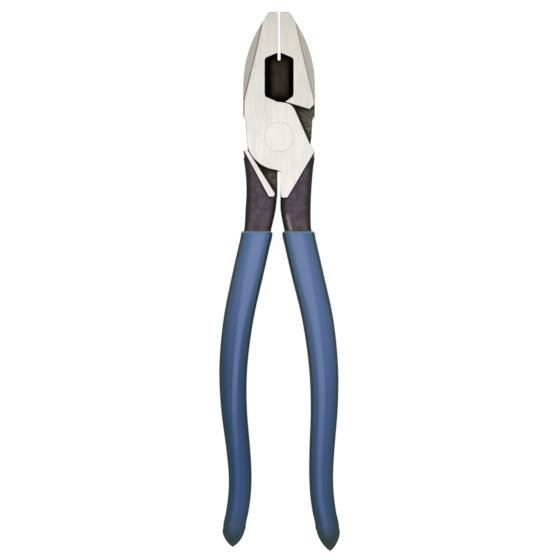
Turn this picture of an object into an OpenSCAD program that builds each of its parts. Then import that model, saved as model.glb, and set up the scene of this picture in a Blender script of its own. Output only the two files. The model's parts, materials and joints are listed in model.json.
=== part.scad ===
// Lineman pliers, lying flat with the jaws nearly closed.
// The two levers are one forging used twice: the rear lever is the front lever turned over about Y. They
// differ only in the corner beside the lap, and in how far each handle was bent. The right grip was dipped a
// little thicker than the left one.
// Frame: the rest face is z = 0, the pivot axis is Z through the origin, the jaws point along +Y.

/* [Head] */
// Thickness of the head, both laps together
head_t = 16; // [14:0.5:18]
// Width across the closed jaws
head_w = 31.4; // [31:0.1:32]
// Distance from the pivot to the nose
jaw_len = 54.9; // [53:0.1:58]
// Distance between the gripping faces at the nose
nose_gap = 0.95; // [0.5:0.05:1.2]
// Distance between the gripping faces at the cutter window
throat_gap = 1.28; // [0.8:0.02:1.3]
// Slope of the outer bevels on the jaws, from flat
bevel_slope = 45; // [35:1:55]
// Width of the small chamfer down the side of each jaw
side_chamfer = 0.4; // [0.2:0.05:0.6]
// How much each face falls away towards the nose
nose_relief = 0.7; // [0.2:0.1:1.2]
// Depth of the gripping serrations
tooth_depth = 0.2; // [0.15:0.05:0.4]
// Spacing of the gripping serrations
tooth_pitch = 1.25; // [1:0.05:2]

/* [Cutter] */
// Half the width of the window over the knives
window_half_w = 6.3; // [5.8:0.1:6.6]
// Half the width of the ground knife bevels
knife_half_w = 4.4; // [3.6:0.1:4.8]
// Height of the knife bevels where they meet the window walls
knife_rise = 2.6; // [2:0.1:3.5]
// Thickness of each cutting edge
knife_edge_t = 0.3; // [0.2:0.05:0.5]
// Gap left between the two cutting edges
knife_gap = 0.01; // [0.01:0.01:0.1]

/* [Pivot] */
// Radius of the lap discs that turn on each other
lap_r = 14.55; // [14.3:0.05:14.6]
// Distance from the pivot to the step that borders each disc
step_dist = 14.75; // [14.75:0.05:15]
// Gap between the lapped faces
lap_gap = 0.08; // [0.05:0.01:0.12]
// Radius of the rivet's shank
rivet_r = 4.5; // [4:0.1:5]
// Radius of the rivet's flush heads
rivet_head_r = 6.4; // [6:0.1:7]
// Clearance round the rivet in the lever that turns on it
rivet_clearance = 0.04; // [0.02:0.01:0.08]

/* [Handles] */
// Distance from the pivot to the handle tips
handle_len = 181.3; // [176:0.1:186]
// Largest distance of a handle's centreline from the middle
handle_bow = 20.1; // [19:0.1:22]
// Width of the forged handle where it enters the grip
tang_w = 12.3; // [11.5:0.1:13]
// Thickness of the forged handle where it enters the grip
tang_t = 10; // [9:0.1:11]
// Gap between the handles just below the pivot
handle_gap = 1.5; // [1.2:0.1:1.8]
// Distance from the pivot to the top of the grips
grip_top = 41.4; // [41:0.1:43]
// Thickness of the dipped grips on the sides
grip_wall = 1.1; // [1:0.1:1.5]
// How much thicker the right grip was dipped than the left one
right_grip_extra = 0.25; // [0:0.05:0.3]
// Clearance between a grip and the handle in it
grip_fit = 0.05; // [0.03:0.01:0.1]

/* [Hidden] */
$fn = 96;

steel = [0.85, 0.84, 0.82];
rivet_steel = [0.78, 0.77, 0.75];
vinyl = [0.27, 0.36, 0.56];

half_t = head_t / 2;
side_x = head_w / 2;
past = 1;      // how far a cutting shape runs past what it cuts
reach = 120;   // size of a block that cuts everything on one side of a plane

// Cheek of the jaw: a straight side, an arc, and a straight run to the nose.
cheek_r = 50;
cheek_y = 22.6;
cheek_turn = 30.7;
cheek_end = [-side_x + cheek_r * (1 - cos(cheek_turn)), cheek_y + cheek_r * sin(cheek_turn)];
nose_x = cheek_end[0] + (jaw_len - cheek_end[1]) * tan(cheek_turn);
nose_corner = 0.5;

// The jaw of the full thickness ends on a shoulder that clears the other lever's lap.
shoulder_dist = 15.5;
shoulder_angle = 106.7;
shoulder_tip_x = -2.4;
shoulder_out_x = -13.4;
hook_y = 9.2;
hook_x = -14.7;
lap_side_x = -14.25;

// Top of the lap: an arc about the pivot that blends into a straight flank.
crown_r = 15.25;
crown_lip = 0.1;
crown_end = 78;
flank_dist = 11.15;
flank_angle = 23.7;
blend_r = (flank_dist - crown_r * cos(crown_end - flank_angle)) / (1 - cos(crown_end - flank_angle));
blend_c = (crown_r - blend_r) * [cos(crown_end), sin(crown_end)];

// Window over the knives.
window_top = 36.8;
window_low = 17.7;
window_r = 1.6;        // radius of the upper corners
window_r_y = 33.5;     // height of their centres
window_slope = 22.4;   // slope of the upper edges
knife_top = 33.7;
knife_low = 15.55;
tip_cut = 0.25;        // how far the window's lower wall runs past the knife at the shoulder's tip

// Where the ground faces of the head stop above the forged handle, on the lap's side and on the strip's side.
v_dist = 16.74;
v_angle = -30.6;
head_low = -26.75;
strip_v_dist = 16.45;
strip_v_angle = -28.3;
strip_low = -26.3;
corner_r = 1.1;        // radius of the corners at the ends of these faces, in plan
edge_slope = 76;
step_angle = -32.2;
strip_end_x = 1.85;
strip_top = [13.8, line_y(13.8, step_dist, step_angle)];
flank_end = [13.8, -3.7];
head_side_x = 15.6;
front_corner = [[head_side_x, -6.6]];
rear_corner = [[head_side_x, -6.2], strip_top];

// Forged handle under the grip: [distance along the handle, centreline offset, width, thickness, lean],
// as fractions of handle_len, handle_bow, tang_w, tang_t and handle_bow. The lean moves both handles to +X.
handle_shape = [
    [0.050, 0.409, 1.215, 1.24, 0], [0.077, 0.391, 1.156, 1.24, 0], [0.110, 0.378, 1.113, 1.22, 0],
    [0.143, 0.373, 1.095, 1.18, -0.008], [0.177, 0.384, 1.078, 1.10, -0.022],
    [0.226, 0.441, 0.965, 1.00, -0.030], [0.328, 0.642, 0.955, 0.92, -0.031],
    [0.441, 0.866, 0.910, 0.84, -0.021], [0.560, 0.989, 0.832, 0.78, -0.014],
    [0.662, 0.987, 0.754, 0.74, 0.001], [0.755, 0.917, 0.689, 0.70, 0.022],
    [0.832, 0.885, 0.642, 0.68, 0.036], [0.899, 0.933, 0.637, 0.66, 0.037],
    [0.949, 1.028, 0.634, 0.64, 0.039], [1.000, 1.066, 0.634, 0.64, 0.052]];
core_end = 0.93;       // fraction of the handle that is steel
tip_start = 0.949;     // fraction of the handle where the drip at the tip begins
tip_end = 0.9995;      // fraction at the last section, just short of a point
drip_share = 0.1;      // how much the drip at the right tip is lengthened and the left one shortened
ring_corner = 6;       // steps round each corner of a handle section
corner_share = 0.6;    // corner radius of the forged section, as a share of its half thickness
grip_roundness = 2.7;  // 2 is an ellipse, more is squarer

function arc(c, r, a0, a1, n) = [for (i = [0:n]) let (a = a0 + (a1 - a0) * i / n) c + r * [cos(a), sin(a)]];
// Height at x of the line at distance d from the pivot, whose normal points at angle a.
function line_y(x, d, a) = (d - x * cos(a)) / sin(a);

// Smooth value of column c of the table t at the fraction f, through every row.
function slope(t, i, c) =
    let (a = max(i - 1, 0), b = min(i + 1, len(t) - 1))
    (t[b][c] - t[a][c]) / (t[b][0] - t[a][0]);
function row_at(t, f, i = 0) = i >= len(t) - 2 || f <= t[i + 1][0] ? i : row_at(t, f, i + 1);
function smooth(t, f, c) =
    let (i = row_at(t, f), h = t[i + 1][0] - t[i][0], u = (f - t[i][0]) / h)
    t[i][c] * (1 + 2 * u) * (1 - u) * (1 - u) + slope(t, i, c) * h * u * (1 - u) * (1 - u)
    + t[i + 1][c] * u * u * (3 - 2 * u) - slope(t, i + 1, c) * h * u * u * (1 - u);

// The lean counts as +1 on the front lever, whose handle is at +X, and as -1 on the rear one.
function centre_x(f, side) = handle_bow * (smooth(handle_shape, f, 1) + side * smooth(handle_shape, f, 4));
function core_half_w(f) = tang_w / 2 * smooth(handle_shape, f, 2);
function core_half_t(f) = tang_t / 2 * smooth(handle_shape, f, 3);

// Section of the forging at the fraction f, grown by g: a rectangle with round corners.
function core_ring(f, g, side) =
    let (r = corner_share * core_half_t(f), w = core_half_w(f) + g - r, t = core_half_t(f) + g - r)
    [for (q = [0:3]) for (i = [0:ring_corner])
        let (a = 90 * q + 90 * i / ring_corner, sx = q == 0 || q == 3 ? 1 : -1, sz = q < 2 ? 1 : -1)
        [centre_x(f, side) + sx * w + r * cos(a), -handle_len * f, sz * t + r * sin(a)]];

// Fractions at which the forged handle has a section: close together where it shows, wider in the grip.
top_f = grip_top / handle_len;
start_f = handle_shape[0][0];
shown_f = [for (i = [0:14]) start_f + (top_f - start_f) * i / 14];
hidden_f = [for (i = [1:16]) top_f + (core_end - top_f) * i / 16];

// Section of the grip: a squared oval, which closes to a round point at the tip.
function power(v, p) = sign(v) * pow(abs(v), p);
function tip_scale(f) = f <= tip_start ? 1 : pow(1 - pow((f - tip_start) / (1 - tip_start), 2), 0.85);
function grip_ring(f, k, side) =
    let (n = 4 * (ring_corner + 1), s = k * tip_scale(f),
         wall = grip_wall + (side > 0 ? right_grip_extra : 0),
         w = s * (core_half_w(f) + wall), t = s * (core_half_t(f) + wall),
         drip = side * drip_share * max(f - tip_start, 0))
    [for (i = [0:n - 1]) let (a = 180 / n + 360 * i / n)
        [centre_x(f, side) + w * power(cos(a), 2 / grip_roundness), -handle_len * (f + drip),
         t * power(sin(a), 2 / grip_roundness)]];

// Closed skin over a list of rings that have the same number of points.
module skin(rings) {
    n = len(rings[0]);
    last = len(rings) - 1;
    sides = [for (i = [0:last - 1]) for (j = [0:n - 1])
        let (a = i * n + j, b = i * n + (j + 1) % n)
        each [[a, b + n, b], [a, a + n, b + n]]];
    first_cap = [for (j = [0:n - 1]) j];
    last_cap = [for (j = [n - 1:-1:0]) last * n + j];
    polyhedron([for (r = rings) each r], concat(sides, [first_cap, last_cap]));
}

// Half space outside the plane that passes through the line (dist, angle) at the face and falls away.
module outside(dist, angle, fall) {
    rotate([0, 0, angle]) translate([dist, 0, half_t]) rotate([0, fall, 0])
        translate([-reach / 2, -reach / 2, 0]) cube(reach);
}

// Plan outline shared by both halves of a jaw, from the gripping face round to the side.
function jaw_inside() = concat(
    [[-knife_gap / 2, knife_top]],
    arc([0, knife_top + throat_gap / 2], throat_gap / 2, 260, 180, 4),
    [[-nose_gap / 2, jaw_len], [nose_x + nose_corner, jaw_len],
     [nose_x - nose_corner * sin(cheek_turn) / 2, jaw_len - nose_corner]],
    arc([cheek_r - side_x, cheek_y], cheek_r, 180 - cheek_turn, 180, 12));

// Outer edge of the head's end, just inside the forged handle that carries it on.
function head_side(side) = [for (f = [start_f + 0.1:-0.01:start_f + 0.005])
    [centre_x(f, side) + core_half_w(f) - 0.3, -handle_len * f]];

module lap_plan(side, corner) {
    polygon(concat(
        jaw_inside(),
        [[-side_x, hook_y], [hook_x, hook_y - 1.6], [lap_side_x, 0]],
        arc([0, 0], lap_r, 201.5, 262, 16),
        [[handle_gap / 2, -crown_r]],
        arc([handle_gap / 2 + corner_r, head_low + corner_r], corner_r, 180, 265, 5),
        [[handle_gap / 2 + corner_r, head_low - past]],
        head_side(side), corner, [flank_end],
        arc(blend_c, blend_r, flank_angle, crown_end, 6),
        arc([0, 0], crown_r, crown_end + 2, 90, 6),
        [[-knife_gap / 2, crown_r + crown_lip]]));
}

module jaw_plan() {
    polygon(concat(
        jaw_inside(),
        [[-side_x, 14.5], [-side_x + 0.7, 13.8],
         [shoulder_out_x, line_y(shoulder_out_x, shoulder_dist, shoulder_angle)],
         [shoulder_tip_x, line_y(shoulder_tip_x, shoulder_dist, shoulder_angle)],
         [-knife_gap / 2, knife_low]]));
}

// Plan of the head's end on the side away from the lap.
module strip_plan(side, corner) {
    end_x = strip_end_x + corner_r;
    polygon(concat(
        arc([end_x, line_y(end_x, step_dist + corner_r, step_angle)], corner_r, step_angle + 180, 180, 3),
        arc([end_x, strip_low + corner_r], corner_r, 180, 265, 5),
        [[end_x, strip_low - past]],
        head_side(side), [corner[0], strip_top]));
}

// What ends a face of the head: the line (dist, angle) above the handle, a line across the handle at the
// height low, and a round corner between them.
module face_end(dist, angle, low) {
    corner_y = low + corner_r;
    corner_x = (dist - corner_r - corner_y * sin(angle)) / cos(angle);
    for (i = [0:4]) {
        a = angle + (-90 - angle) * i / 4;
        outside(corner_r + corner_x * cos(a) + corner_y * sin(a), a, edge_slope);
    }
}

// What the window takes out above the knives on one face; low is where its lower wall ends.
module window_pocket(low) {
    intersection() {
        linear_extrude(half_t + past) polygon([
            [past, window_top], [-0.9, window_top],
            each arc([window_r - window_half_w, window_r_y], window_r, 90 + window_slope, 180, 5),
            [-window_half_w, window_low + 1.2], [-window_half_w + 0.4, window_low], low, [past, low[1]]]);
        translate([0, window_top + past, 0]) rotate([90, 0, 0]) linear_extrude(window_top) polygon([
            [past, half_t + past], [past, knife_edge_t / 2], [0, knife_edge_t / 2],
            [-knife_half_w, knife_rise], [-window_half_w, half_t], [-window_half_w, half_t + past]]);
    }
}

module jaw_bevel() {
    line_point = [-10.85, 33.9];
    line_turn = 13.9;
    translate([line_point[0], line_point[1], half_t]) rotate([0, 0, 180 - line_turn])
        rotate([0, bevel_slope, 0]) translate([-reach / 2, -reach / 2, 0]) cube(reach);
}

// The face falls away to the nose along a shallow curve.
module nose_cut() {
    start = 36;
    run = jaw_len - start;
    translate([past, 0, 0]) rotate([90, 0, -90]) linear_extrude(side_x + 2 * past) polygon(concat(
        [for (i = [0:6]) [-start - run * i / 6, half_t - nose_relief * pow(i / 6, 2)]],
        [[-jaw_len - past, half_t - nose_relief], [-jaw_len - past, half_t + past],
         [-start, half_t + past]]));
}

module serrations() {
    first = window_top + 1.6;
    count = floor((jaw_len - 0.8 - first) / tooth_pitch);
    for (i = [0:count]) {
        y = first + i * tooth_pitch;
        face_x = -throat_gap / 2 + (throat_gap - nose_gap) / 2 * (y - knife_top) / (jaw_len - knife_top);
        translate([face_x, y, 0]) linear_extrude(head_t + 2 * past, center = true)
            polygon([[0.1, tooth_pitch * 0.4], [-tooth_depth, 0], [0.1, -tooth_pitch * 0.4]]);
    }
}

module both_faces() {
    children();
    mirror([0, 0, 1]) children();
}

module jaw_and_lap(side, corner) {
    difference() {
        union() {
            translate([0, 0, lap_gap / 2]) linear_extrude(half_t - lap_gap / 2) lap_plan(side, corner);
            translate([0, 0, -half_t]) linear_extrude(head_t) jaw_plan();
        }
        both_faces() jaw_bevel();
        both_faces() outside(side_x - side_chamfer, 180, bevel_slope);
        both_faces() nose_cut();
        window_pocket([-0.6, crown_r + crown_lip]);
        mirror([0, 0, 1]) window_pocket([shoulder_tip_x, knife_low - tip_cut]);
        serrations();
        face_end(v_dist, v_angle, head_low);
    }
}

// Forged handle, with the ground strip beyond the step and the recess that the other disc turns in.
module handle(side, corner) {
    difference() {
        union() {
            skin([for (f = concat(shown_f, hidden_f)) core_ring(f, 0, side)]);
            difference() {
                translate([0, 0, -half_t]) linear_extrude(half_t + lap_gap) strip_plan(side, corner);
                mirror([0, 0, 1]) face_end(strip_v_dist, strip_v_angle, strip_low);
            }
        }
        rotate([0, 0, step_angle]) translate([step_dist - reach, -reach / 2, -reach + lap_gap / 2])
            cube(reach);
    }
}

module rivet_solid(grow) {
    head_h = rivet_head_r - rivet_r;
    cylinder(r = rivet_r + grow, h = head_t, center = true);
    both_faces() translate([0, 0, half_t - head_h - grow])
        cylinder(r1 = rivet_r + grow, r2 = rivet_head_r + 2 * grow, h = head_h + grow);
}

// A lever about its own middle plane, placed as the front one: left jaw, front lap, right handle.
module lever(side, bore_grow, corner) {
    difference() {
        union() {
            jaw_and_lap(side, corner);
            handle(side, corner);
        }
        rivet_solid(bore_grow);
    }
}

module grip(side) {
    outer_steps = 22;
    tip_steps = 6;
    lip = 0.0055;
    lip_share = 0.94;
    cavity_end = core_end + 0.002;
    skin(concat(
        [core_ring(cavity_end, grip_fit, side)],
        [for (i = [len(hidden_f) - 1:-1:0]) core_ring(hidden_f[i], grip_fit, side)],
        [core_ring(top_f, grip_fit, side), grip_ring(top_f, lip_share, side)],
        [for (i = [0:outer_steps])
            grip_ring(top_f + lip + (tip_start - top_f - lip) * i / outer_steps, 1, side)],
        [for (i = [1:tip_steps])
            grip_ring(tip_start + (tip_end - tip_start) * sin(90 * i / tip_steps), 1, side)]));
}

module front_lever() color(steel) translate([0, 0, half_t]) lever(1, rivet_clearance, front_corner);
module rear_lever() color(steel) translate([0, 0, half_t]) rotate([0, 180, 0]) lever(-1, 0, rear_corner);
module pivot_rivet() color(rivet_steel) translate([0, 0, half_t]) rivet_solid(0);
module right_grip() color(vinyl) translate([0, 0, half_t]) grip(1);
module left_grip() color(vinyl) translate([0, 0, half_t]) rotate([0, 180, 0]) grip(-1);

front_lever();
rear_lever();
pivot_rivet();
right_grip();
left_grip();
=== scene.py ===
import json
import math
import bmesh
import bpy
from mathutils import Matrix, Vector

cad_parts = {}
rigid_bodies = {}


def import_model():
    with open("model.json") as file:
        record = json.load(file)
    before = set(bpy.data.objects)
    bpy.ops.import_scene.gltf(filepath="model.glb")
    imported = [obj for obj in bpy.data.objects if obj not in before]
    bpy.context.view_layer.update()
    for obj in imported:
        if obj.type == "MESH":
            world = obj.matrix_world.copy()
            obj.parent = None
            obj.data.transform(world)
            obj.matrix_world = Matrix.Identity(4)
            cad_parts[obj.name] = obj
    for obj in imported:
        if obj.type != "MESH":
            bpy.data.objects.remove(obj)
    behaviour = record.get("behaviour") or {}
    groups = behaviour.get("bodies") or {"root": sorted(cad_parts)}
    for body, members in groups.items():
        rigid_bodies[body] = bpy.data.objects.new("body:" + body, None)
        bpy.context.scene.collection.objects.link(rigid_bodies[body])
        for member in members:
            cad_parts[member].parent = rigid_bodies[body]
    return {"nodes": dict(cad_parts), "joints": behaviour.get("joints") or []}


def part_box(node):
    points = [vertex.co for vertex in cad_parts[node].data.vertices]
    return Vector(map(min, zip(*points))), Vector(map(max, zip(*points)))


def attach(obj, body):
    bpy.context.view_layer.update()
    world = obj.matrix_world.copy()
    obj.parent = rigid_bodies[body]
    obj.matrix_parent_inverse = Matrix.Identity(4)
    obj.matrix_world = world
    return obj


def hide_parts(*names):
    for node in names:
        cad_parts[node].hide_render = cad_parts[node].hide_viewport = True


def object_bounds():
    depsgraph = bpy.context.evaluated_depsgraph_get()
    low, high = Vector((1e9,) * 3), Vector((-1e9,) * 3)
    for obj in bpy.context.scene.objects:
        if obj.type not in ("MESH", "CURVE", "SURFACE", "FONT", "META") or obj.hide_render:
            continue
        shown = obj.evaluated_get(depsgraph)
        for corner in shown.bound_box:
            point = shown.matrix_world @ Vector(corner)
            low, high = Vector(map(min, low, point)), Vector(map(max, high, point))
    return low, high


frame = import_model()
cad_low, cad_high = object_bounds()

MM = 0.001
PIVOT = Vector(frame["joints"][0]["pos_m"])
JOINT_BODY = {"front": frame["joints"][0]["child"], "rear": frame["joints"][0]["parent"]}
NOSE_Y = cad_high.y
TIP_Y = cad_low.y
HALF_T = (cad_high.z - cad_low.z) / 2

# The edge between the ground head and the tang, as a line at a distance from the pivot whose normal points
# at an angle, and the lowest level of the ground head.
V_LINE = (16.74 * MM, math.radians(-30.6))
HEAD_LOW = -26.75 * MM

# Places on the front lever: the window, the top of the knives, the lowest serration, how far in from the
# middle the teeth are, the jaw's outer side and the shoulder at the tang.
WINDOW = {"half_w": 6.3 * MM, "low": 15.2 * MM, "top": 36.9 * MM}
KNIFE_TOP = 33.7 * MM
SERRATION_LOW = 37 * MM
TEETH_IN = 1.4 * MM
OUTER_X = -13.5 * MM
SHOULDER_Y = -15.5 * MM

# How the front face falls away towards the nose.
NOSE_FALL = {"start": 36 * MM, "depth": 0.7 * MM}

# The CAD keeps a hair of clearance between the knives; the finished edges meet in the middle. Points closer
# than MERGE are made one.
KNIFE_TOUCH = 0.02 * MM
MERGE = 0.01 * MM

# Edges of the levers: how wide they are rounded, and from which angles they are rounded or stay hard.
# None is rounded within RIVET_R of the pivot axis, which takes in the rivet's hole.
EDGE_ROUND = 0.2 * MM
ROUNDED_FROM = math.radians(33)
HARD_FROM = math.radians(28)
RIVET_R = 7 * MM

# How a face is sorted: level from FLAT and upright from STEEP, as parts of its normal, past an edge when it
# is within SEAM of it, and in the lap when it is level and within LAP_SLACK of the middle plane.
FLAT = 0.97
STEEP = 0.9
SEAM = 0.3 * MM
LAP_SLACK = 0.2 * MM

# Material slots of a lever, in the order they are added.
GROUND, SATIN, TANG, RECESS, WALL, KNIFE = range(6)

# The grips: where they begin to close towards their tips, how far the lip is rounded, and the gap round the
# handle.
DRIP_Y = -172 * MM
LIP = 1.1 * MM
HANDLE_GAP = 0.06 * MM

# Points round a ring of a grip, and steps from ring to ring in its cavity, over its lip, down its side and
# round its tip.
AROUND = 64
CAVITY_STEPS, LIP_STEPS, SIDE_STEPS, TIP_STEPS = 40, 8, 84, 15

# Levels between which the colours of the grips change.
GRIP_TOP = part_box("right_grip")[1].y
GRIP_WAIST = -95 * MM
GRIP_LOW = -150 * MM


def beyond(x, y, line):
    """How far a point in plan lies outside a line given as (distance, angle)."""
    distance, angle = line
    return x * math.cos(angle) + y * math.sin(angle) - distance


# ---------------------------------------------------------------- node helpers

class Nodes:
    """A short way to write a material's or the world's node tree."""

    def __init__(self, tree):
        self.tree = tree
        tree.nodes.clear()

    def add(self, kind, **settings):
        node = self.tree.nodes.new(kind)
        inputs = settings.pop("inputs", {})
        for key, value in settings.items():
            setattr(node, key, value)
        for key, value in inputs.items():
            self.put(value, node.inputs[key])
        return node

    def put(self, value, socket):
        if isinstance(value, bpy.types.NodeSocket):
            self.tree.links.new(value, socket)
        elif socket.type == "RGBA":
            socket.default_value = (*value, 1)
        else:
            socket.default_value = value

    def math(self, operation, a, b=0.0):
        node = self.add("ShaderNodeMath", operation=operation)
        self.put(a, node.inputs[0])
        self.put(b, node.inputs[1])
        return node.outputs[0]

    def plus(self, a, b):
        return self.math("ADD", a, b)

    def minus(self, a, b):
        return self.math("SUBTRACT", a, b)

    def times(self, a, b):
        return self.math("MULTIPLY", a, b)

    def size(self, value):
        return self.math("ABSOLUTE", value)

    def ramp(self, value, low, high, to_low=0.0, to_high=1.0):
        node = self.add("ShaderNodeMapRange", interpolation_type="SMOOTHSTEP")
        for name, v in (("Value", value), ("From Min", low), ("From Max", high),
                        ("To Min", to_low), ("To Max", to_high)):
            self.put(v, node.inputs[name])
        return node.outputs["Result"]

    def spread(self, noise, to_low=0.0, to_high=1.0):
        """A noise spread over a range; nearly all of a noise lies between 0.3 and 0.7."""
        return self.ramp(noise, 0.3, 0.7, to_low, to_high)

    def left_right(self, x, left, right):
        """One value for the left of the tool and one for its right."""
        return self.ramp(x, -1 * MM, 1 * MM, left, right)

    def mix(self, factor, a, b, blend="MIX"):
        node = self.add("ShaderNodeMix", data_type="RGBA", blend_type=blend)
        self.put(factor, node.inputs["Factor"])
        self.put(a, node.inputs["A"])
        self.put(b, node.inputs["B"])
        return node.outputs["Result"]

    def noise(self, vector, scale, detail=3.0, roughness=0.5):
        node = self.add("ShaderNodeTexNoise", inputs={
            "Vector": vector, "Scale": scale, "Detail": detail, "Roughness": roughness})
        return node.outputs["Fac"]

    def position(self, stretch=(1, 1, 1)):
        """Object coordinates in metres, stretched per axis."""
        where = self.add("ShaderNodeTexCoord").outputs["Object"]
        return self.add("ShaderNodeMapping", inputs={"Vector": where, "Scale": stretch}).outputs[0]

    def split(self, vector):
        return self.add("ShaderNodeSeparateXYZ", inputs={0: vector}).outputs

    def openness(self, distance, low, high):
        """0 in corners and beside walls, 1 in the open."""
        node = self.add("ShaderNodeAmbientOcclusion", inputs={"Distance": distance}, samples=12)
        return self.ramp(node.outputs["AO"], low, high)

    def turned_away(self):
        """0 where a surface looks up, down or at the eye, rising to 1 on sides seen at a glancing angle."""
        glance = self.add("ShaderNodeLayerWeight", inputs={"Blend": 0.5}).outputs["Facing"]
        normal_z = self.split(self.add("ShaderNodeTexCoord").outputs["Normal"])[2]
        sideways = self.minus(1.0, self.size(normal_z))
        return self.math("MINIMUM", glance, sideways)

    def bump(self, height, depth, strength):
        return self.add("ShaderNodeBump", inputs={
            "Height": height, "Distance": depth, "Strength": strength}).outputs[0]

    def show(self, shader, kind="ShaderNodeOutputMaterial"):
        """Ends the tree in an output."""
        self.tree.links.new(shader.outputs[0], self.add(kind).inputs["Surface"])

    def surface(self, **inputs):
        """A principled surface; an underscore in a name stands for a space."""
        shader = self.add("ShaderNodeBsdfPrincipled")
        for key, value in inputs.items():
            self.put(value, shader.inputs[key.replace("_", " ")])
        self.show(shader)


def new_material(name):
    material = bpy.data.materials.new(name)
    material.use_nodes = True
    return material, Nodes(material.node_tree)


# ---------------------------------------------------------------- materials

def ground_steel():
    """Flat faces, ground along the tool: fine lengthwise lines, slow cloudy changes, greyer up the jaws."""
    material, n = new_material("ground_steel")
    lines = n.noise(n.position((5200, 160, 400)), 1.0, 2.0, 0.6)
    wide_lines = n.noise(n.position((1500, 60, 100)), 1.0, 2.0)
    clouds = n.noise(n.position((110, 55, 60)), 1.0, 3.0)
    y = n.split(n.position())[1]
    jaws = n.ramp(y, 5 * MM, 24 * MM)
    nose = n.ramp(y, 30 * MM, NOSE_Y)
    plain = n.mix(nose, n.mix(jaws, (0.675, 0.656, 0.632), (0.590, 0.577, 0.549)), (0.554, 0.537, 0.495))
    shade = n.plus(n.spread(lines, -0.05, 0.05), n.spread(wide_lines, -0.045, 0.045))
    shade = n.plus(shade, n.spread(clouds, 0.95, 1.04))
    grey = n.add("ShaderNodeCombineColor", inputs={0: shade, 1: shade, 2: shade}).outputs[0]
    colour = n.mix(1.0, plain, grey, "MULTIPLY")
    n.surface(Base_Color=colour, Metallic=1.0, Roughness=n.spread(wide_lines, 0.36, 0.46),
              Normal=n.bump(lines, 0.006 * MM, 0.6))
    return material


def satin_steel():
    """Bevels, sides and gripping faces: duller and warmer than the flat faces, with painted shade along the
    top edge and low on the left jaw's outer side.
    """
    material, n = new_material("satin_steel")
    grain = n.noise(n.position((900, 250, 900)), 1.0, 3.0)
    clouds = n.noise(n.position((120, 60, 120)), 1.0, 2.0)
    colour = n.mix(n.spread(clouds), (0.82, 0.765, 0.675), (0.89, 0.845, 0.760))
    x, y, z = n.split(n.position())
    along = n.math("DIVIDE", n.minus(y, NOSE_FALL["start"]), NOSE_Y - NOSE_FALL["start"])
    fall = n.times(n.math("POWER", n.math("MAXIMUM", along, 0.0), 2.0), NOSE_FALL["depth"])
    height = n.size(n.minus(z, PIVOT.z))
    below_face = n.minus(n.minus(HALF_T, fall), height)
    # Painted shade: a dark band along the top edge of the bevels and sides, next to the face, stronger on
    # the left.
    line = n.times(n.ramp(below_face, 0.75 * MM, 0.15 * MM), n.left_right(x, 0.75, 0.45))
    colour = n.mix(line, colour, (0.20, 0.17, 0.13))
    # Painted shade low on the outer side of the left jaw.
    painted_side_shade = n.times(n.ramp(x, -15.15 * MM, -15.35 * MM), n.ramp(y, 18.5 * MM, 16.5 * MM, 0.0, 0.85))
    colour = n.mix(painted_side_shade, colour, (0.09, 0.085, 0.07))
    n.surface(Base_Color=colour, Metallic=1.0, Roughness=n.spread(grain, 0.42, 0.54),
              Normal=n.bump(grain, 0.01 * MM, 0.7))
    return material


def tang_scale():
    """Dark heat-treated forging: purple-grey scale, red-brown towards the grips, painted shade black round
    its edges and in its corners, and a painted highlight streak above the right grip."""
    material, n = new_material("tang_scale")
    where = n.position()
    patches = n.noise(where, 420, 4.0, 0.65)
    grit = n.noise(where, 2600, 3.0, 0.6)
    x, y, _ = n.split(where)
    purple = n.mix(n.ramp(patches, 0.35, 0.65), (0.046, 0.029, 0.052), (0.102, 0.070, 0.106))
    brown = n.mix(n.ramp(patches, 0.35, 0.65), (0.050, 0.028, 0.027), (0.110, 0.072, 0.066))
    colour = n.mix(n.ramp(y, -33 * MM, -42 * MM, 0.0, 0.7), purple, brown)
    colour = n.mix(n.ramp(grit, 0.5, 0.72, 0.0, 0.3), colour, (0.24, 0.18, 0.19))
    # Painted highlight: a light streak along the inner edge of the right tang above its grip, broken up by
    # the grit.
    streak_x = n.plus(n.times(n.minus(-35.6 * MM, y), 0.24), 3.9 * MM)
    off_streak = n.size(n.minus(x, streak_x))
    wear_and_highlight = n.times(n.ramp(off_streak, 1.1 * MM, 0.2 * MM), n.ramp(y, -32.5 * MM, -35.5 * MM))
    wear_and_highlight = n.times(wear_and_highlight, n.ramp(grit, 0.40, 0.58, 0.1, 1.0))
    colour = n.mix(wear_and_highlight, colour, (0.42, 0.33, 0.31))
    # Painted shade: near black on the sides seen at a glancing angle.
    colour = n.mix(n.ramp(n.turned_away(), 0.02, 0.24, 0.0, 0.82), colour, (0.012, 0.009, 0.011))
    # Painted shade: near black in corners and beside walls.
    colour = n.mix(n.openness(1.2 * MM, 0.35, 0.8), (0.010, 0.008, 0.009), colour)
    n.surface(Base_Color=colour, Metallic=0.3, Roughness=n.spread(grit, 0.42, 0.6),
              Normal=n.bump(n.plus(patches, n.times(grit, 0.35)), 0.05 * MM, 0.6))
    return material


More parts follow.
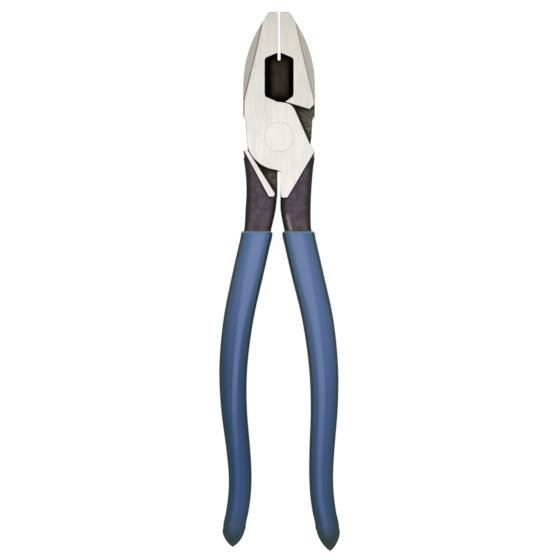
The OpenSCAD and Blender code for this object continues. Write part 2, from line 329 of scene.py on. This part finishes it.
def recess_scale():
    """Lap faces and steps round them: mottled olive scale, painted shade black in the corners and beside
    the walls, worn bare at the rivet.
    """
    material, n = new_material("recess_scale")
    where = n.position()
    patches = n.noise(where, 900, 4.0, 0.7)
    grit = n.noise(where, 3000, 3.0)
    x, y, _ = n.split(where)
    radius = n.math("SQRT", n.plus(n.times(x, x), n.times(y, y)))
    # Real wear: bare metal round the rivet, where the laps turn on each other.
    wear_and_highlight = n.times(n.ramp(radius, 10.5 * MM, 8 * MM), n.ramp(patches, 0.35, 0.6))
    light = n.mix(n.ramp(y, 12 * MM, 5 * MM), (0.190, 0.158, 0.100), (0.300, 0.250, 0.160))
    scale = n.mix(n.ramp(patches, 0.38, 0.64), (0.050, 0.039, 0.020), light)
    # Painted shade: black in the corners and beside the walls of the recess.
    scale = n.mix(n.openness(3.2 * MM, 0.6, 0.86), (0.002, 0.002, 0.001), scale)
    colour = n.mix(wear_and_highlight, scale, (0.38, 0.36, 0.33))
    n.surface(Base_Color=colour, Metallic=n.ramp(wear_and_highlight, 0.0, 1.0, 0.2, 1.0),
              Roughness=n.spread(grit, 0.45, 0.65),
              Normal=n.bump(n.plus(patches, n.times(grit, 0.4)), 0.05 * MM, 0.7))
    return material


def wall_scale_and_shade():
    """Walls of the window over the knives: dark scale, painted nearly black as painted shade inside the
    window.
    """
    material, n = new_material("wall_scale_and_shade")
    patches = n.noise(n.position(), 700, 4.0)
    # Painted shade: the dark scale is made near black and hardly reflecting, for the shade inside the
    # window.
    colour = n.mix(n.ramp(patches, 0.35, 0.7), (0.0004, 0.0003, 0.0002), (0.0022, 0.0016, 0.0010))
    n.surface(Base_Color=colour, Metallic=0.0, Roughness=0.7, Specular_IOR_Level=0.02,
              Normal=n.bump(patches, 0.05 * MM, 0.6))
    return material


def knife_scale():
    """Knife bevels: dark brown scale, painted shade black towards the walls and the ends, with faint
    grinding lines across.
    """
    material, n = new_material("knife_scale")
    lines = n.noise(n.position((160, 2600, 160)), 1.0, 2.0)
    clouds = n.noise(n.position(), 300, 3.0)
    x, y, _ = n.split(n.position())
    colour = n.mix(n.spread(clouds), (0.046, 0.033, 0.023), (0.076, 0.057, 0.042))
    # Painted shade: black towards the walls and the ends of the window; only the lit middle keeps its
    # colour and reflection.
    inside = n.ramp(n.size(n.minus(x, 0.4 * MM)), 4.9 * MM, 1.8 * MM)
    ends = n.times(n.ramp(y, 15.5 * MM, 21.5 * MM), n.ramp(y, 36 * MM, 31 * MM))
    lit = n.times(inside, ends)
    colour = n.mix(lit, (0.003, 0.002, 0.001), colour)
    n.surface(Base_Color=colour, Metallic=0.0, Roughness=n.spread(lines, 0.45, 0.6),
              Specular_IOR_Level=n.times(lit, 0.25), Normal=n.bump(lines, 0.012 * MM, 0.6))
    return material


def rivet_steel():
    """Head of the rivet, ground with the face; a hair duller than the steel round it."""
    material, n = new_material("rivet_steel")
    lines = n.noise(n.position((5200, 160, 400)), 1.0, 2.0, 0.6)
    shade = n.spread(lines, 0.64, 0.71)
    colour = n.add("ShaderNodeCombineColor", inputs={
        0: shade, 1: n.times(shade, 0.975), 2: n.times(shade, 0.94)}).outputs[0]
    n.surface(Base_Color=colour, Metallic=1.0, Roughness=0.40, Normal=n.bump(lines, 0.006 * MM, 0.6))
    return material


def grip_highlight(n, x, y):
    """A painted highlight down the crown of a grip, 0 to 1. It narrows down to the waist and then fades."""
    across = n.add("ShaderNodeAttribute", attribute_name="across").outputs["Fac"]
    outward = n.times(across, n.math("SIGN", x))
    centre = n.ramp(y, GRIP_WAIST, GRIP_LOW, -0.2, n.left_right(x, 0.2, -0.15))
    half_w = n.ramp(y, -45 * MM, GRIP_WAIST, 0.62, n.left_right(x, 0.25, 0.30))
    streak = n.ramp(n.size(n.minus(outward, centre)), half_w, n.times(half_w, 0.4))
    return n.times(streak, n.ramp(y, GRIP_WAIST, GRIP_LOW, 1.0, n.left_right(x, 0.2, 0.5)))


def grip_vinyl():
    """Dipped vinyl: steel blue, dark green at the tips, with painted light making the top lighter, painted
    highlights down the crown and round the lip, and painted shade in teal down the sides.
    """
    material, n = new_material("grip_vinyl")
    where = n.position()
    x, y, _ = n.split(where)
    # Painted light: the colours darken down the grip, the left one sooner, as the light falls off
    # downwards.
    down = n.ramp(y, GRIP_TOP, n.left_right(x, -110 * MM, -170 * MM))
    body = n.mix(down, (0.070, 0.160, 0.420), (0.012, 0.064, 0.200))
    shine = n.mix(down, (0.140, 0.240, 0.500), (0.095, 0.185, 0.420))
    flank = n.mix(down, (0.080, 0.158, 0.295), (0.020, 0.070, 0.135))
    edge = n.mix(down, (0.020, 0.068, 0.072), (0.012, 0.052, 0.046))
    # Painted highlight down the crown.
    crown = n.mix(grip_highlight(n, x, y), body, shine)
    # Painted shade: darker blue, then dark teal, on the sides seen at a glancing angle.
    tilt = n.turned_away()
    colour = n.mix(n.ramp(tilt, 0.01, 0.12), crown, flank)
    colour = n.mix(n.ramp(tilt, 0.10, 0.42), colour, edge)
    colour = n.mix(n.ramp(y, TIP_Y + 20 * MM, TIP_Y), colour, (0.025, 0.055, 0.045))
    clouds = n.noise(n.position((60, 25, 60)), 1.0, 2.0)
    colour = n.mix(n.spread(clouds, 0.0, 0.10), colour, (0.14, 0.19, 0.36))
    # Painted highlight round the lip.
    lip_highlight = n.ramp(y, GRIP_TOP - 1.0 * MM, GRIP_TOP - 0.5 * MM, 0.0, 0.7)
    colour = n.mix(lip_highlight, colour, (0.30, 0.42, 0.62))
    peel = n.noise(where, 900, 2.0)
    fine = n.noise(where, 5000, 2.0)
    height = n.plus(peel, n.times(fine, 0.15))
    n.surface(Base_Color=colour, Roughness=n.spread(fine, 0.30, 0.38),
              Specular_IOR_Level=n.ramp(y, GRIP_TOP, GRIP_LOW, 0.42, 0.26),
              Coat_Weight=n.ramp(y, GRIP_TOP, GRIP_LOW, 0.15, 0.08),
              Coat_Roughness=0.22, Normal=n.bump(height, 0.03 * MM, 0.5))
    return material


# ---------------------------------------------------------------- objects

def add_object(name, data):
    thing = bpy.data.objects.new(name, data)
    bpy.context.scene.collection.objects.link(thing)
    return thing


def mesh_from(bm, name, *materials):
    """A mesh with its materials from a bmesh, which is freed."""
    mesh = bpy.data.meshes.new(name)
    bm.to_mesh(mesh)
    bm.free()
    for material in materials:
        mesh.materials.append(material)
    return mesh


def stand_in(piece, node, body):
    """A piece takes the place of a CAD node and rides on its body."""
    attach(piece, body)
    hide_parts(node)


# ---------------------------------------------------------------- levers

def lever_place(point, turned):
    """A point of a lever as if it were the front lever, about its own middle plane."""
    x, y, z = point.x, point.y, point.z - PIVOT.z
    return (-x, y, -z) if turned else (x, y, z)


def lever_slot(centre, normal, turned):
    """Which finish a face of a lever has, by where it is and which way it looks."""
    x, y, z = lever_place(centre, turned)
    flat = abs(normal.z) > FLAT
    if flat and abs(z) > 0.9 * HALF_T:
        return GROUND
    if beyond(x, y, V_LINE) > -SEAM or y < HEAD_LOW + SEAM:
        return TANG
    if flat and abs(z) < LAP_SLACK:
        return RECESS
    in_window = abs(x) < WINDOW["half_w"] and WINDOW["low"] < y < WINDOW["top"]
    gripping = y > KNIFE_TOP and abs(normal.x) > STEEP and x > -2 * MM
    if in_window and not gripping:
        return KNIFE if 0.7 < abs(normal.z) < FLAT else WALL
    if y > WINDOW["low"] or x < OUTER_X:
        return SATIN
    if y < SHOULDER_Y and normal.x < -STEEP:
        return TANG
    return RECESS


def mark_edges(bm, turned):
    """Gives every edge of a lever its weight for rounding, and keeps the hard ones sharp."""
    weight = bm.edges.layers.float.new("bevel_weight_edge")
    for edge in bm.edges:
        x, y, _ = lever_place((edge.verts[0].co + edge.verts[1].co) / 2, turned)
        tooth = y > SERRATION_LOW and x > -TEETH_IN
        cutting = x > -SEAM and WINDOW["low"] < y < KNIFE_TOP + 1 * MM
        bore = math.hypot(x, y) < RIVET_R
        ground = any(f.material_index in (GROUND, SATIN) for f in edge.link_faces)
        angle = edge.calc_face_angle(0)
        rounded = angle > ROUNDED_FROM and edge.is_convex and ground and not (tooth or cutting or bore)
        edge[weight] = 1.0 if rounded else 0.0
        edge.smooth = rounded or angle < HARD_FROM


def lever_piece(name, node, body, materials, turned):
    """A finished copy of a lever: flat faces joined, finishes set face by face, and hard edges rounded."""
    bm = bmesh.new()
    bm.from_mesh(frame["nodes"][node].data)
    bmesh.ops.remove_doubles(bm, verts=bm.verts, dist=MERGE)
    for vertex in bm.verts:
        if abs(vertex.co.x) < KNIFE_TOUCH:
            vertex.co.x = 0
    # The rounded sides of the tangs and handles keep all their faces.
    flat_edges = [e for e in bm.edges if all(
        abs(f.normal.z) > 0.9999 or f.calc_center_median().y > HEAD_LOW for f in e.link_faces)]
    bmesh.ops.dissolve_limit(bm, angle_limit=math.radians(0.5), verts=[], edges=flat_edges)
    for face in bm.faces:
        face.material_index = lever_slot(face.calc_center_median(), face.normal, turned)
        face.smooth = True
    mark_edges(bm, turned)
    piece = add_object(name, mesh_from(bm, name, *materials))
    bevel = piece.modifiers.new("rounded_edges", "BEVEL")
    bevel.limit_method = "WEIGHT"
    bevel.width = EDGE_ROUND
    bevel.segments = 2
    bevel.use_clamp_overlap = False
    normals = piece.modifiers.new("flat_faces_look_flat", "WEIGHTED_NORMAL")
    normals.keep_sharp = True
    stand_in(piece, node, body)


# ---------------------------------------------------------------- grips

def section(node, y):
    """Centre x, half width and half thickness of a CAD node where the plane at y cuts it."""
    mesh = frame["nodes"][node].data
    xs, zs = [], []
    for edge in mesh.edges:
        a, b = (mesh.vertices[i].co for i in edge.vertices)
        if (a.y - y) * (b.y - y) <= 0 and abs(a.y - b.y) > 1e-9:
            p = a.lerp(b, (y - a.y) / (b.y - a.y))
            xs.append(p.x)
            zs.append(p.z)
    return (max(xs) + min(xs)) / 2, (max(xs) - min(xs)) / 2, (max(zs) - min(zs)) / 2


def signed_power(value, power):
    return math.copysign(abs(value) ** power, value)


def oval(centre_x, y, half_w, half_t, squareness):
    """Points of a squared oval in the plane at y."""
    points = []
    for i in range(AROUND):
        a = 2 * math.pi * (i + 0.5) / AROUND
        points.append(Vector((centre_x + half_w * signed_power(math.cos(a), 2 / squareness), y,
                              PIVOT.z + half_t * signed_power(math.sin(a), 2 / squareness))))
    return points


def skin(bm, rings, pole_y):
    """Faces over a list of rings, with the first ring capped and the last one drawn to a pole. Each point
    keeps how far across its ring it is, from -1 at the left to 1 at the right."""
    across = bm.verts.layers.float.new("across")
    rows = [[bm.verts.new(p) for p in ring] for ring in rings]
    for row in rows:
        left, right = min(v.co.x for v in row), max(v.co.x for v in row)
        for vertex in row:
            vertex[across] = (2 * vertex.co.x - left - right) / (right - left)
    for above, below in zip(rows, rows[1:]):
        for i in range(AROUND):
            j = (i + 1) % AROUND
            bm.faces.new((above[i], above[j], below[j], below[i]))
    bm.faces.new(rows[0][::-1])
    middle = sum((v.co for v in rows[-1]), Vector()) / AROUND
    pole = bm.verts.new((middle.x, pole_y, middle.z))
    for i in range(AROUND):
        bm.faces.new((rows[-1][i], rows[-1][(i + 1) % AROUND], pole))


def through(a, b, c, d, u):
    """A smooth curve through four even steps, u of the way from the second to the third (Catmull-Rom)."""
    square = (2 * a - 5 * b + 4 * c - d) * u ** 2
    cube = (3 * b - a - 3 * c + d) * u ** 3
    return 0.5 * (2 * b + (c - a) * u + square + cube)


def smooth_sections(node, top, bottom, count):
    """Sections of a CAD node at even steps, and a function that runs a smooth curve through them."""
    step = (bottom - top) / (count - 1)
    table = [section(node, top + step * i) for i in range(count)]

    def at(y):
        s = min(max((y - top) / step, 0), count - 1.001)
        i = int(s)
        u = s - i
        p = [table[min(max(k, 0), count - 1)] for k in (i - 1, i, i + 1, i + 2)]
        return tuple(through(a, b, c, d, u) for a, b, c, d in zip(*p))
    return at


def grip_rings(node, lever):
    """Rings of a sleeve from the bottom of its cavity up to the mouth, over the lip and down to the tip."""
    low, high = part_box(node)
    top, tip = high.y, low.y
    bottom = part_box(lever)[0].y - 0.3 * MM
    outside = smooth_sections(node, top - 1.2 * MM, DRIP_Y + 1 * MM, 22)
    inside = smooth_sections(lever, top, bottom + 1.5 * MM, 24)
    rings = []
    for i in range(CAVITY_STEPS + 1):
        y = bottom + (top - bottom) * i / CAVITY_STEPS
        x, w, t = inside(y)
        rings.append(oval(x, y, w + HANDLE_GAP, t + HANDLE_GAP, 6))
    x, w, t = outside(top)
    for i in range(1, LIP_STEPS + 1):
        a = math.pi / 2 * i / LIP_STEPS
        inset = LIP * (1 - math.sin(a)) ** 0.7
        rings.append(oval(x, top - LIP * (1 - math.cos(a)), w - inset, t - inset, 3.0))
    start = top - LIP
    for i in range(1, SIDE_STEPS + 1):
        y = start + (DRIP_Y - start) * i / SIDE_STEPS
        x, w, t = outside(y)
        rings.append(oval(x, y, w, t, 2.8))
    _, w, t = outside(DRIP_Y)
    for i in range(1, TIP_STEPS):
        s = math.sin(math.pi / 2 * i / TIP_STEPS)
        scale = (1 - s * s) ** 0.85
        y = DRIP_Y + (tip - DRIP_Y) * s
        rings.append(oval(section(node, y)[0], y, w * scale, t * scale, 2.8 - 0.6 * s))
    return rings


def grip_piece(name, node, lever, body, material):
    """A dipped sleeve: a rounded lip, a thin wall round the handle, and a drip that closes the tip."""
    bm = bmesh.new()
    skin(bm, grip_rings(node, lever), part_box(node)[0].y)
    bmesh.ops.recalc_face_normals(bm, faces=bm.faces)
    for face in bm.faces:
        face.smooth = True
    piece = add_object(name, mesh_from(bm, name, material))
    stand_in(piece, node, body)


# ---------------------------------------------------------------- studio

def floor_material():
    """Pale floor: white to the camera with a trace of soft shadow, and mid grey to the light it bounces."""
    material, n = new_material("floor")
    seen = n.add("ShaderNodeLightPath").outputs["Is Camera Ray"]
    white = n.add("ShaderNodeEmission", inputs={"Color": (1, 1, 1), "Strength": 0.93}).outputs[0]
    plain = n.add("ShaderNodeBsdfDiffuse", inputs={"Color": (0.16, 0.16, 0.16)}).outputs[0]
    bounce = n.add("ShaderNodeBsdfDiffuse", inputs={"Color": (0.42, 0.41, 0.40)}).outputs[0]
    to_camera = n.add("ShaderNodeAddShader", inputs={0: white, 1: plain}).outputs[0]
    n.show(n.add("ShaderNodeMixShader", inputs={0: seen, 1: bounce, 2: to_camera}))
    return material


def build_floor():
    """A large square just under the tool."""
    half, level = 6.0, cad_low.z - 0.05 * MM
    bm = bmesh.new()
    bm.faces.new([bm.verts.new((sx * half, sy * half, level)) for sx, sy in
                  ((-1, -1), (1, -1), (1, 1), (-1, 1))])
    add_object("floor", mesh_from(bm, "floor", floor_material()))


def build_world():
    """A studio by direction: a softbox overhead, bright in its middle, and plain white to the camera."""
    world = bpy.data.worlds.new("studio")
    world.use_nodes = True
    bpy.context.scene.world = world
    n = Nodes(world.node_tree)
    direction = n.add("ShaderNodeTexCoord").outputs["Generated"]
    x, y, z = n.split(direction)
    softbox = n.plus(n.ramp(z, 0.66, 0.90, 0.0, 0.80), n.ramp(z, 0.93, 0.985, 0.0, 0.62))
    side = n.ramp(x, -0.9, 0.9, 0.27, 0.36)
    horizon = n.ramp(z, 0.55, 0.1, 0.0, 0.61)
    level = n.plus(n.plus(softbox, side), horizon)
    seen = n.add("ShaderNodeLightPath").outputs["Is Camera Ray"]
    lit = n.add("ShaderNodeBackground", inputs={"Color": (1, 0.99, 0.98), "Strength": level}).outputs[0]
    white = n.add("ShaderNodeBackground", inputs={"Color": (1, 1, 1), "Strength": 1.0}).outputs[0]
    n.show(n.add("ShaderNodeMixShader", inputs={0: seen, 1: lit, 2: white}), "ShaderNodeOutputWorld")


def build_camera():
    """A long lens straight above the tool, which fills most of the height of a square picture."""
    fill = 0.962
    off_centre = Vector((0.22 * MM, 0.75 * MM, 0))
    frame_side = (cad_high.y - cad_low.y) / fill
    middle = (cad_low + cad_high) / 2 + off_centre
    data = bpy.data.cameras.new("camera")
    data.sensor_width = 36.0
    data.lens = 550.0
    data.clip_start = 0.05
    data.clip_end = 50
    camera = add_object("camera", data)
    camera.location = middle + Vector((0, 0, frame_side * data.lens / data.sensor_width))
    bpy.context.scene.camera = camera


def build_tool():
    levers = [ground_steel(), satin_steel(), tang_scale(), recess_scale(), wall_scale_and_shade(), knife_scale()]
    lever_piece("lever_front", "front_lever", JOINT_BODY["front"], levers, False)
    lever_piece("lever_rear", "rear_lever", JOINT_BODY["rear"], levers, True)
    vinyl = grip_vinyl()
    grip_piece("sleeve_right", "right_grip", "front_lever", JOINT_BODY["front"], vinyl)
    grip_piece("sleeve_left", "left_grip", "rear_lever", JOINT_BODY["rear"], vinyl)
    frame["nodes"]["pivot_rivet"].data.materials[0] = rivet_steel()


build_tool()
build_floor()
build_world()
build_camera()
bpy.context.scene.view_settings.view_transform = "Standard"
